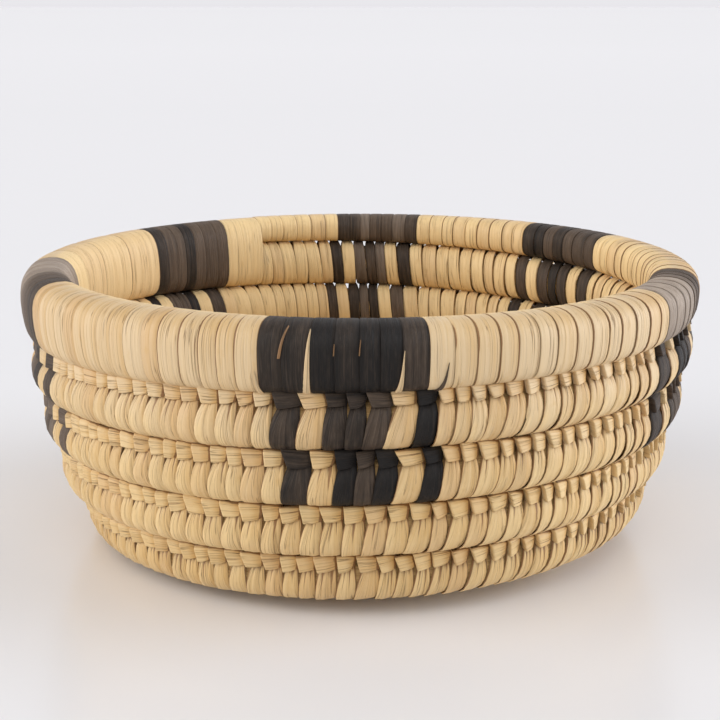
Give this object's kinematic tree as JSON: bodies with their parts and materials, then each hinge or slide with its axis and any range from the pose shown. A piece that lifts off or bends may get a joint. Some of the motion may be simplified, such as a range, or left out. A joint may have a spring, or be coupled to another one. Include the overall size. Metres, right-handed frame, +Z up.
{
  "type": "coiled basket",
  "caption": "Round open basket: a grass-bundle coil wound into a bowl and sewn with knotted strips of split leaf, natural with dark blocks and stripes under a level rim.",
  "frame": {"origin": "middle of the basket's box, on the surface that it stands on", "axes": "+Z up out of the bowl, -Y the pictured front, +X to its right"},
  "size_m": [0.2287, 0.2286, 0.093],
  "materials": {
    "natural_leaf": "split yucca leaf, pale straw to gold, fibrous, satin",
    "dark_leaf": "split yucca leaf dyed black-brown, fibrous, soft sheen",
    "grass_bundle": "dry grass stems laid side by side, matt"
  },
  "bodies": {
    "root": {"base_strips_1": "natural_leaf", "base_strips_2": "natural_leaf", "base_strips_3": "natural_leaf", "base_strips_4": "natural_leaf", "base_strips_5": "natural_leaf", "coil_bundle": "grass_bundle", "knot_row_1": "natural_leaf", "knot_row_2": "natural_leaf", "knot_row_3": "natural_leaf", "knot_row_4": "natural_leaf", "rim_dark_1": "dark_leaf", "rim_dark_2": "dark_leaf", "rim_dark_3": "dark_leaf", "rim_dark_4": "dark_leaf", "rim_dark_5": "dark_leaf", "rim_dark_6": "dark_leaf", "rim_natural_1": "natural_leaf", "rim_natural_2": "natural_leaf", "rim_natural_3": "natural_leaf", "rim_natural_4": "natural_leaf", "rim_natural_5": "natural_leaf", "rim_natural_6": "natural_leaf", "rim_natural_7": "natural_leaf", "wall_3_dark_1": "dark_leaf", "wall_3_dark_2": "dark_leaf", "wall_3_dark_3": "dark_leaf", "wall_3_dark_4": "dark_leaf", "wall_3_dark_5": "dark_leaf", "wall_3_dark_6": "dark_leaf", "wall_3_natural_1": "natural_leaf", "wall_3_natural_2": "natural_leaf", "wall_3_natural_3": "natural_leaf", "wall_3_natural_4": "natural_leaf", "wall_3_natural_5": "natural_leaf", "wall_3_natural_6": "natural_leaf", "wall_3_natural_7": "natural_leaf", "wall_4_dark_1": "dark_leaf", "wall_4_dark_2": "dark_leaf", "wall_4_dark_3": "dark_leaf", "wall_4_dark_4": "dark_leaf", "wall_4_dark_5": "dark_leaf", "wall_4_dark_6": "dark_leaf", "wall_4_natural_1": "natural_leaf", "wall_4_natural_2": "natural_leaf", "wall_4_natural_3": "natural_leaf", "wall_4_natural_4": "natural_leaf", "wall_4_natural_5": "natural_leaf", "wall_4_natural_6": "natural_leaf", "wall_4_natural_7": "natural_leaf", "wall_strips_1": "natural_leaf", "wall_strips_2": "natural_leaf"}
  },
  "joints": []
}
